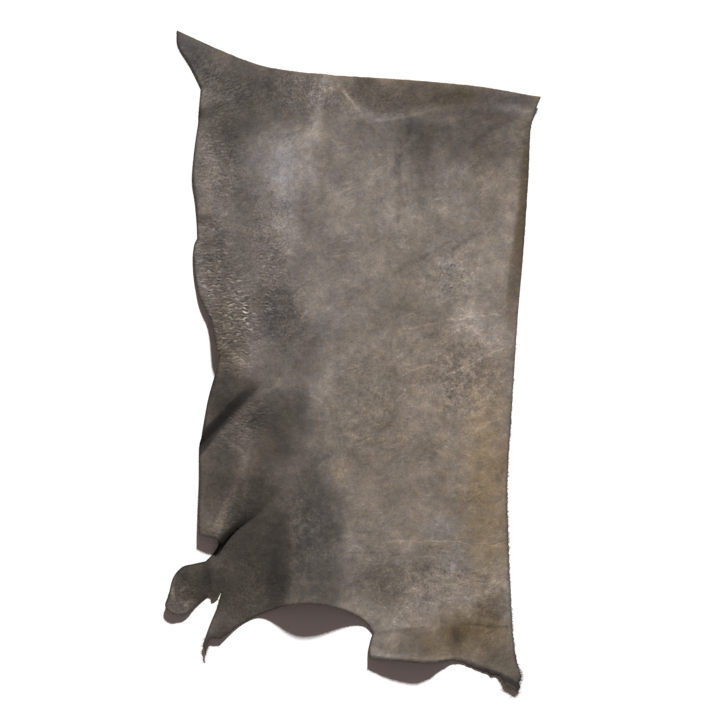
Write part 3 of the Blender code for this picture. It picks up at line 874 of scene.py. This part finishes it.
def dye_group():
    """Dyed leather: green is depth times e to the tone, and red and blue are shares of green that change
    with the warmth.  A painted sheen lightens all three alike."""
    inputs = {"Depth": GRAIN_DEPTH, "Tone": 0.0, "Warmth": 0.0, "Bloom": 0.0}
    group, given, made = new_group("dyed leather", inputs, "Color", "NodeSocketColor")
    depth, tone, warmth, sheen = (given.outputs[name] for name in inputs)
    green = math_node(group, "MULTIPLY", math_node(group, "EXPONENT", tone), depth)
    red = add_share(group, RED_OVER_GREEN, warmth, RED_PER_WARMTH)
    blue = add_share(group, BLUE_OVER_GREEN, warmth, BLUE_PER_WARMTH)
    colour = add_node(group, "ShaderNodeCombineColor", Red=add_share(group, sheen, green, red),
                      Green=math_node(group, "ADD", green, sheen), Blue=add_share(group, sheen, green, blue))
    group.links.new(colour.outputs["Color"], made.inputs["Color"])
    return group


CELLS = [(0.0026, 0.30), (0.0012, 0.14)]  # (size in m, how deep their borders are)
CELL_SMOOTHNESS = 0.4
PORE_SIZE, PORE_DEPTH = 0.0016, 0.16


def grain_group():
    """The fine grain: cells with sunken borders, of two sizes, and pores.  Height runs from 0 to 1."""
    group, given, made = new_group("leather grain", {"Vector": None}, "Height", "NodeSocketFloat")
    where = given.outputs["Vector"]
    height = 0.5
    for size, depth in CELLS:
        cells = add_node(group, "ShaderNodeTexVoronoi", {"feature": "SMOOTH_F1"},
                         Vector=where, Scale=1.0 / size, Smoothness=CELL_SMOOTHNESS)
        height = add_share(group, height, cells.outputs["Distance"], -depth)
    height = add_share(group, height, cloud(group, where, PORE_SIZE, 3.0), PORE_DEPTH)
    group.links.new(height, made.inputs["Height"])
    return group


def mark_group():
    """A scratch: 1 on the line from one end to the other, and 0 from its half width on, by a smooth step."""
    inputs = {"Vector": None, "From": None, "To": None, "Half Width": MM}
    group, given, made = new_group("scratch", inputs, "Share", "NodeSocketFloat")
    vector, start, end, half_width = (given.outputs[name] for name in inputs)
    way, side = vector_math(group, "SUBTRACT", vector, start), vector_math(group, "SUBTRACT", end, start)
    share = math_node(group, "DIVIDE", vector_math(group, "DOT_PRODUCT", way, side, output="Value"),
                      vector_math(group, "DOT_PRODUCT", side, side, output="Value"), clamp=True)
    foot = add_node(group, "ShaderNodeVectorMath", {"operation": "SCALE"}, i0=side, Scale=share)
    gap = vector_math(group, "DISTANCE", way, foot.outputs["Vector"], output="Value")
    near = add_node(group, "ShaderNodeMapRange", {"interpolation_type": "SMOOTHSTEP"},
                    Value=gap, From_Min=half_width, From_Max=0.0, To_Min=0.0, To_Max=1.0)
    group.links.new(near.outputs["Result"], made.inputs["Share"])
    return group


class Mark(NamedTuple):
    """A scratch, a smudge, or a line left by a bend."""

    x0: float
    y0: float
    x1: float
    y1: float
    half_width: float
    tone: float


MARKS = [Mark(*row) for row in [
    # (x0, y0, x1, y1, half width, tone)
    # Long scratches over the rump.
    (52, -272, 120, -272, 1.6, 0.28), (118, -272, 160, -273, 1.8, 0.42), (160, -273, 230, -281, 1.6, 0.3),
    (58, -295, 145, -297, 1.5, 0.26), (150, -300, 222, -304, 1.3, 0.16), (-12, -287, 70, -293, 2.2, -0.24),
    (40, -318, 150, -325, 1.4, 0.18), (60, -250, 150, -246, 1.4, 0.16),
    # Scratches over the side, and a darker line where the hide was bent.
    (70, 44, 150, 61, 2.2, 0.34), (150, 61, 220, 68, 2.4, 0.38), (130, -29, 235, 23, 2.2, 0.34),
    (48, -82, 78, -47, 2.0, 0.34), (78, -47, 115, -22, 1.8, 0.34), (160, -119, 232, -82, 1.6, 0.28),
    (186, 190, 150, 165, 4.0, -0.28), (146, 176, 112, 158, 4.0, -0.26), (112, 158, 60, 130, 7.0, -0.2),
    (70, 133, -5, 91, 9.0, -0.2), (30, 120, -20, 96, 5.0, -0.2), (168, 68, 213, 71, 1.5, 0.26),
    (213, 71, 222, 53, 1.5, 0.26), (175, 318, 205, 345, 8.0, -0.26), (205, 345, 243, 362, 7.0, -0.34),
    # Smudges of dye down the shoulder and across the rump.
    (66, 330, 74, 190, 9.0, -0.24), (84, 350, 62, 280, 12.0, -0.26), (118, 300, 128, 190, 6.0, -0.14),
    (26, -292, 110, -312, 5.0, -0.2), (-10, -250, 30, -262, 6.0, -0.24), (40, -322, 110, -314, 4.0, -0.22),
    (-40, -60, -10, -120, 8.0, -0.2), (40, 10, 70, -30, 8.0, -0.2), (150, -300, 200, -330, 7.0, -0.24),
    # The line of the backbone's bend, and a small star of a scar.
    (69, 293, 69, 166, 2.6, -0.08), (57, 46, 58, 1, 1.8, -0.26), (-86, 106, -62, 118, 1.4, -0.36),
    (-80, 120, -70, 101, 1.4, -0.34), (-96, 96, -80, 108, 1.3, -0.26), (-60, 118, -40, 126, 1.4, 0.22),
    (30, 250, 100, 268, 1.6, -0.14), (-20, 195, 60, 214, 1.5, 0.14),
]]

STIR = 0.012  # how far noise moves the marks, in m
STIRS_PER_METRE = 60.0
GAP_SIZE, GAP_GAIN, GAP_LEVEL = 0.016, 2.2, 0.85

DYED = dye_group()
GRAIN = grain_group()
SCRATCH = mark_group()
FROM_ZERO = (1.37, 2.11, 0.83)  # how far the noise is moved, in m


def attribute_node(tree, name):
    return add_node(tree, "ShaderNodeAttribute", {"attribute_name": name}).outputs["Fac"]


def new_material(name):
    """A material, its node tree, its Principled shader, its object coordinates, and the same coordinates far
    from zero, where all sizes of noise would meet in a star."""
    material = bpy.data.materials.new(name)
    material.use_nodes = True
    tree = material.node_tree
    place = add_node(tree, "ShaderNodeTexCoord").outputs["Object"]
    return material, tree, tree.nodes["Principled BSDF"], place, vector_math(tree, "ADD", place, FROM_ZERO)


def scratches(tree, place, where):
    """What every mark adds to the tone, on coordinates moved a little by noise, with gaps in them."""
    noise = add_node(tree, "ShaderNodeTexNoise", Vector=where, Scale=STIRS_PER_METRE, Detail=3.0)
    stirred = vector_math(tree, "MULTIPLY_ADD", noise.outputs["Color"], (STIR, STIR, 0.0), place)
    level_out = vector_math(tree, "MULTIPLY", stirred, (1.0, 1.0, 0.0))
    total = 0.0
    for mark in MARKS:
        # The noise moves a point by half of STIR on average, so the ends are moved as far.
        ends = [(*((np.array(end) - plan_middle) * MM + STIR / 2), 0.0) for end in (mark[:2], mark[2:4])]
        near = add_node(tree, "ShaderNodeGroup", {"node_tree": SCRATCH},
                        Vector=level_out, From=ends[0], To=ends[1], Half_Width=mark.half_width * MM)
        total = add_share(tree, total, near.outputs["Share"], mark.tone)
    gaps = cloud(tree, where, GAP_SIZE, 3.0)
    gaps = math_node(tree, "MULTIPLY_ADD", gaps, GAP_GAIN, GAP_LEVEL, clamp=True)
    return math_node(tree, "MULTIPLY", total, gaps)


def ridges(tree, value, width):
    """1 where a cloud's value is zero, falling to 0 by a smooth step where it is width or more."""
    away = math_node(tree, "ABSOLUTE", value)
    near = add_node(tree, "ShaderNodeMapRange", {"interpolation_type": "SMOOTHSTEP"},
                    Value=away, From_Min=width, From_Max=0.0, To_Min=0.0, To_Max=1.0)
    return near.outputs["Result"]


def drawn_out(tree, where, angle, share):
    """Coordinates on which noise is drawn out along an angle in degrees, to 1 / share of its width."""
    turned = add_node(tree, "ShaderNodeVectorRotate", {"rotation_type": "Z_AXIS"},
                      Vector=where, Angle=-math.radians(angle))
    return vector_math(tree, "MULTIPLY", turned.outputs["Vector"], (share, 1.0, 1.0))


HAIRLINES = [(14, 0.3, 0.30), (38, 0.9, 0.26), (-12, 1.7, 0.22), (25, 2.6, -0.26)]  # (angle, shift, tone)
HAIRLINE_SIZE, HAIRLINE_WIDTH, HAIRLINE_DRAW = 0.016, 0.035, 0.10
SPARSE_SIZE, SPARSE_GAIN, SPARSE_LEVEL = 0.05, 4.0, -0.2


def hairlines(tree, where, angle, shift):
    """Sparse long scratches at an angle: thin ridges of noise drawn out that way, where a cloud is thick."""
    shifted = vector_math(tree, "ADD", where, (shift, -shift, shift))
    drawn = drawn_out(tree, shifted, angle, HAIRLINE_DRAW)
    sparse = cloud(tree, shifted, SPARSE_SIZE)
    sparse = math_node(tree, "MULTIPLY_ADD", sparse, SPARSE_GAIN, SPARSE_LEVEL, clamp=True)
    lines = ridges(tree, cloud(tree, drawn, HAIRLINE_SIZE, 2.0, 0.6), HAIRLINE_WIDTH)
    return math_node(tree, "MULTIPLY", lines, sparse)


RIPPLE_LINES = [("upright", 60), ("slanting", 30)]  # (where, angle)
RIPPLE_LINE_TONE = 0.55
LINE_SIZE, LINE_WIDTH, LINE_DRAW = 0.0040, 0.24, 0.25
LINE_MEAN = 0.42  # what they come to on average, which is taken off


def ripple_lines(tree, where, angle):
    """Fine broken lines that lie at an angle: the ridges of noise drawn out that way."""
    drawn = drawn_out(tree, where, angle, LINE_DRAW)
    return math_node(tree, "SUBTRACT", ridges(tree, cloud(tree, drawn, LINE_SIZE), LINE_WIDTH), LINE_MEAN)


class Cloud(NamedTuple):
    """Noise that adds a share to a total: all of it, or with a width only the ridges where it is zero."""

    size: float  # in m
    detail: float
    roughness: float
    width: float
    share: float


BROAD = [Cloud(0.110, 2, 0.68, 0, 0.35), Cloud(0.045, 8, 0.68, 0, 0.72), Cloud(0.035, 6, 0.62, 0.035, -0.14)]
MOTTLE = [Cloud(0.011, 6, 0.74, 0, 0.46), Cloud(0.0032, 3, 0.5, 0, 0.18),
          Cloud(0.018, 6, 0.6, 0.05, 0.13), Cloud(0.026, 6, 0.66, 0.04, -0.12)]
TINT = [Cloud(0.022, 3, 0.5, 0, 0.42), Cloud(0.006, 4, 0.7, 0, 0.8)]


def clouds(tree, where, kinds, total):
    """The total with the share of every kind of cloud."""
    for kind in kinds:
        value = cloud(tree, where, kind.size, kind.detail, kind.roughness)
        if kind.width:
            value = ridges(tree, value, kind.width)
        total = add_share(tree, total, value, kind.share)
    return total


class Spots(NamedTuple):
    """Spots where gain times noise and the level are above 0, fully so above 1, in one kind of place."""

    place: str
    size: float  # in m
    detail: float
    roughness: float
    gain: float
    level: float
    tone: float


PITS = Spots("pitted", 0.0046, 4, 0.7, 6.0, -0.6, -0.85)
FLECKS = Spots("pitted", 0.0046, 4, 0.7, -6.0, -0.8, 0.42)
# Glints: painted highlights on the tops of the pebbles.
GLINTS = Spots("pebbled", 0.0036, 2, 0.5, 5.0, -1.2, 0.30)


def spots(tree, where, kind):
    noise = cloud(tree, where, kind.size, kind.detail, kind.roughness)
    share = math_node(tree, "MULTIPLY_ADD", noise, kind.gain, kind.level, clamp=True)
    return math_node(tree, "MULTIPLY", share, attribute_node(tree, kind.place))


# A painted sheen: an even lightening of the grain side's colour in place of a glossy reflection.
PAINTED_SHEEN = 0.0085
LEAST_MOTTLE, UNEVEN_MOTTLE = 1.2, 1.5
RUBS = [("rubbed_down", 90), ("rubbed_across", 0)]  # (where, angle of the streaks)
RUB_SIZE, RUB_DRAW, RUB_TONE = 0.006, 0.10, 0.24
GRAIN_MEAN, LEAST_GRAIN, PEBBLED_GRAIN = 0.29, 0.35, 2.2
ROUGHNESS, CLOUDED_ROUGHNESS, MATT_ROUGHNESS = 0.58, 0.16, 0.24
CLOUDED_SIZE = 0.012
WAXED_SPECULAR = 0.06
BUMP_STRENGTH = 0.8
BUMP_HEIGHT = 0.0004  # in m
LINE_HEIGHT, PIT_DEPTH = 0.5, 0.5  # shares of it


def grain_side_material():
    """The dyed grain side: tone and warmth from the patches, clouds from 110 mm down to 3 mm, rubbed streaks
    down the shoulder and across the rump, fine lines on the ripples, the grain, spots and scratches."""
    material, tree, shader, place, where = new_material("grain_side")
    tone = math_node(tree, "ADD", attribute_node(tree, "tone"), scratches(tree, place, where))
    tone = clouds(tree, where, BROAD, tone)
    unevenness = add_share(tree, LEAST_MOTTLE, attribute_node(tree, "uneven"), UNEVEN_MOTTLE)
    tone = add_share(tree, tone, clouds(tree, where, MOTTLE, 0.0), unevenness)
    for name, angle in RUBS:
        streaks = cloud(tree, drawn_out(tree, where, angle, RUB_DRAW), RUB_SIZE, 5.0, 0.6)
        streaks = math_node(tree, "MULTIPLY", streaks, attribute_node(tree, name))
        tone = add_share(tree, tone, streaks, RUB_TONE)
    lines = 0.0
    for name, angle in RIPPLE_LINES:
        lines = add_share(tree, lines, ripple_lines(tree, where, angle), attribute_node(tree, name))
    tone = add_share(tree, tone, lines, RIPPLE_LINE_TONE)
    for angle, shift, share in HAIRLINES:
        tone = add_share(tree, tone, hairlines(tree, where, angle, shift), share)
    grain = add_node(tree, "ShaderNodeGroup", {"node_tree": GRAIN}, Vector=where).outputs["Height"]
    grain_share = add_share(tree, LEAST_GRAIN, attribute_node(tree, "pebbled"), PEBBLED_GRAIN)
    tone = add_share(tree, tone, math_node(tree, "SUBTRACT", grain, GRAIN_MEAN), grain_share)
    pits = spots(tree, where, PITS)
    tone = add_share(tree, tone, pits, PITS.tone)
    for kind in (FLECKS, GLINTS):
        tone = add_share(tree, tone, spots(tree, where, kind), kind.tone)
    warmth = clouds(tree, where, TINT, attribute_node(tree, "warmth"))
    colour = add_node(tree, "ShaderNodeGroup", {"node_tree": DYED},
                      Tone=tone, Warmth=warmth, Bloom=PAINTED_SHEEN)
    tree.links.new(colour.outputs["Color"], shader.inputs["Base Color"])
    rough = add_share(tree, ROUGHNESS, cloud(tree, where, CLOUDED_SIZE, 4.0), CLOUDED_ROUGHNESS)
    rough = add_share(tree, rough, attribute_node(tree, "matt"), MATT_ROUGHNESS)
    tree.links.new(rough, shader.inputs["Roughness"])
    shader.inputs["Specular IOR Level"].default_value = WAXED_SPECULAR
    height = add_share(tree, add_share(tree, grain, lines, LINE_HEIGHT), pits, -PIT_DEPTH)
    bump = add_node(tree, "ShaderNodeBump", Strength=BUMP_STRENGTH, Distance=BUMP_HEIGHT, Height=height)
    tree.links.new(bump.outputs["Normal"], shader.inputs["Normal"])
    return material


UNDYED_SIZE, UNDYED_SPREAD = 0.006, 0.9
NAP_SIZE, NAP_STRENGTH = 0.0009, 0.7


def plain_side_material(name, depth, warmth, roughness, nap, edge=False):
    """Undyed leather, as on the cut edge and the flesh side: brown clouds and a short nap.  The cut edge
    adds the tone that its stretch of the outline has, partly painted shade where that stretch faces away
    from the light, and takes its warmth."""
    material, tree, shader, _, where = new_material(name)
    tone = math_node(tree, "MULTIPLY", cloud(tree, where, UNDYED_SIZE, 4.0, 0.6), UNDYED_SPREAD)
    if edge:
        tone = math_node(tree, "ADD", tone, attribute_node(tree, "edge_tone"))
        warmth = attribute_node(tree, "edge_warmth")
    colour = add_node(tree, "ShaderNodeGroup", {"node_tree": DYED}, Depth=depth, Tone=tone, Warmth=warmth)
    tree.links.new(colour.outputs["Color"], shader.inputs["Base Color"])
    shader.inputs["Roughness"].default_value = roughness
    naps = cloud(tree, where, NAP_SIZE, 4.0)
    bump = add_node(tree, "ShaderNodeBump", Strength=NAP_STRENGTH, Distance=nap, Height=naps)
    tree.links.new(bump.outputs["Normal"], shader.inputs["Normal"])
    return material


hide_data.materials.append(grain_side_material())
hide_data.materials.append(
    plain_side_material("cut_edge", depth=0.110, warmth=0.0, roughness=0.8, nap=0.0004, edge=True))
hide_data.materials.append(
    plain_side_material("flesh_side", depth=0.120, warmth=0.6, roughness=0.9, nap=0.0005))
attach(hide, "root")
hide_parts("hide")

# ---------------------------------------------------------------------------------------------
# The frayed edge.  Where the knife dragged and where the hide was torn, fibres of the flesh side
# stand out of the cut.  Each is a thin three-sided strand, tapered and bent down to the table.


class Fray(NamedTuple):
    """How many strands grow from the edge around one place, and how long the longest is."""

    x: float
    y: float
    reach: float
    strands: int
    longest: float


FRAYS = [Fray(*row) for row in [
    # (x, y, reach, strands, longest)
    (248, -488, 24, 260, 7.0), (222, -477, 26, 150, 5.0), (160, -453, 80, 200, 3.2),
    (243, -440, 60, 150, 4.5), (236, -320, 90, 200, 4.4), (233, -180, 90, 180, 4.2),
    (242, -30, 90, 110, 3.2), (262, 250, 160, 120, 2.8), (200, 407, 120, 120, 2.8), (0, 424, 140, 140, 2.8),
    (-190, 460, 110, 110, 2.4), (-219, -436, 20, 90, 5.0), (-208, -360, 12, 40, 3.6),
    (-235, 100, 160, 60, 1.4),
]]
STRAND_STATIONS = np.linspace(0.0, 1.0, 4)
STRAND_SIDES = 3
STRAND_RADIUS = 0.21
STRAND_TAPER = 0.85  # the share of its radius that it loses by its tip
SHORTEST_STRAND = 0.25  # shares of the longest there
SHORTNESS = 1.5  # the power that makes short ones the most common
LEAN, TURN = 0.7, 0.5  # standard deviations of their slant and of how they curl, over their length
ROOT_DEPTH = 0.5
CORNER = 0.5  # where the way outwards is shorter than this
LOWEST_ROOT, HIGHEST_ROOT = 0.1, 0.9  # shares of the thickness
RISE, LEAST_DROP, MOST_DROP = 0.15, 0.1, 0.6  # over their length
LOWEST_STRAND = 0.15


def strands_mesh(name):
    """Every strand at once: its middle line leaves the edge outwards and bends by s squared times a seeded
    turn and drop, and a triangle around it shrinks by STRAND_TAPER towards the tip, at s = 1.  None grows
    at a corner, where the edge has no single way outwards."""
    rng = np.random.default_rng(5)
    roots, longest = [], []
    off_corners = np.linalg.norm(ring_outwards, axis=1) > CORNER
    for fray in FRAYS:
        near = np.linalg.norm(ring - fray[:2], axis=1) < fray.reach
        roots.append(rng.choice(np.flatnonzero(near & off_corners), fray.strands))
        longest.append(np.full(fray.strands, fray.longest))
    roots, longest = np.concatenate(roots), np.concatenate(longest)
    count = len(roots)
    out = ring_outwards[roots]
    along = np.stack([out[:, 1], -out[:, 0]], axis=1)
    length = longest * rng.uniform(SHORTEST_STRAND, 1.0, count) ** SHORTNESS
    lean, turn = rng.normal(0.0, LEAN, count), rng.normal(0.0, TURN, count)
    start = ring[roots] + along * rng.uniform(-1, 1, count)[:, None] - ROOT_DEPTH * out
    level_up = rng.uniform(LOWEST_ROOT, HIGHEST_ROOT, count) * THICKNESS + underside_height(ring[roots])
    s = STRAND_STATIONS[None, :, None]
    heading = (out + lean[:, None] * along)[:, None, :]
    curl_over = (turn[:, None] * along)[:, None, :]
    plan = start[:, None, :] + length[:, None, None] * (s * heading + s ** 2 * curl_over)
    drop = rng.uniform(LEAST_DROP, MOST_DROP, count)[:, None]
    rise = level_up[:, None] + length[:, None] * (RISE * s[..., 0] - drop * s[..., 0] ** 2)
    middle = np.concatenate([plan - plan_middle, np.maximum(rise, LOWEST_STRAND)[..., None]], axis=2)
    angles = np.arange(STRAND_SIDES) * 2 * np.pi / STRAND_SIDES
    level = along[:, None, :] * np.cos(angles)[None, :, None]
    upright = np.broadcast_to(np.sin(angles)[None, :, None], (count, STRAND_SIDES, 1))
    around = np.concatenate([level, upright], axis=2)
    radius = STRAND_RADIUS * (1.0 - STRAND_TAPER * STRAND_STATIONS)
    points = middle[:, :, None, :] + radius[None, :, None, None] * around[:, None, :, :]
    per_strand = len(STRAND_STATIONS) * STRAND_SIDES
    corner = np.arange(STRAND_SIDES)
    following = (corner + 1) % STRAND_SIDES
    beyond, beyond_following = corner + STRAND_SIDES, following + STRAND_SIDES
    side = np.stack([corner, beyond, beyond_following, following], axis=1)
    quads = np.vstack([row + side for row in range(0, per_strand - STRAND_SIDES, STRAND_SIDES)])
    caps = np.array([corner, per_strand - 1 - corner])
    shift = (np.arange(count) * per_strand)[:, None, None]
    faces = (quads[None] + shift).reshape(-1, 4).tolist() + (caps[None] + shift).reshape(-1, 3).tolist()
    mesh = bpy.data.meshes.new(name)
    mesh.from_pydata((points.reshape(-1, 3) * MM).tolist(), [], faces)
    return mesh


fray_data = strands_mesh("edge_fibres")
fray_data.materials.append(plain_side_material("fibre", depth=0.075, warmth=0.9, roughness=0.85, nap=0.0001))
edge_fibres = in_scene("edge_fibres", fray_data)
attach(edge_fibres, "root")

# ---------------------------------------------------------------------------------------------
# The table that the hide lies on, the light over its neck end, and the camera straight above.

FLOOR_SIDE = 30.0
FLOOR_DROP = 0.0003
SUN_FROM = Vector((0.17, 0.80, 0.57))
SUN_STRENGTH = 6.72
SUN_WIDTH = math.radians(4.5)
TABLE_GREY = 0.80
TABLE_ROUGHNESS = 0.9
SKY = 0.12
SKY_TINT = (1.26, 0.97, 0.90, 1.0)
CAMERA_HEIGHT = 3.2
CAMERA_X = 0.0105
PICTURE_SIDE = 1.08  # of the table, seen across the picture

table_data = bpy.data.meshes.new("table_top")
signs = ((-1, -1), (1, -1), (1, 1), (-1, 1))
corners = [(x * FLOOR_SIDE / 2, y * FLOOR_SIDE / 2, -FLOOR_DROP) for x, y in signs]
table_data.from_pydata(corners, [], [(0, 1, 2, 3)])
table_material = bpy.data.materials.new("table_top")
table_material.use_nodes = True
table_shader = table_material.node_tree.nodes["Principled BSDF"]
table_shader.inputs["Base Color"].default_value = (TABLE_GREY, TABLE_GREY, TABLE_GREY, 1.0)
table_shader.inputs["Roughness"].default_value = TABLE_ROUGHNESS
table_data.materials.append(table_material)
table_top = in_scene("table_top", table_data)

sun_data = bpy.data.lights.new("sun", "SUN")
sun_data.energy = SUN_STRENGTH
sun_data.angle = SUN_WIDTH
sun = in_scene("sun", sun_data)
sun.rotation_euler = SUN_FROM.to_track_quat("Z", "Y").to_euler()

world = bpy.data.worlds.new("studio")
world.use_nodes = True
world.node_tree.nodes["Background"].inputs["Color"].default_value = SKY_TINT
world.node_tree.nodes["Background"].inputs["Strength"].default_value = SKY
bpy.context.scene.world = world
bpy.context.scene.view_settings.view_transform = "Standard"

camera_data = bpy.data.cameras.new("camera")
camera_data.lens = camera_data.sensor_width * CAMERA_HEIGHT / PICTURE_SIDE
camera = in_scene("camera", camera_data)
camera.location = (CAMERA_X, 0.0, CAMERA_HEIGHT)
bpy.context.scene.camera = camera
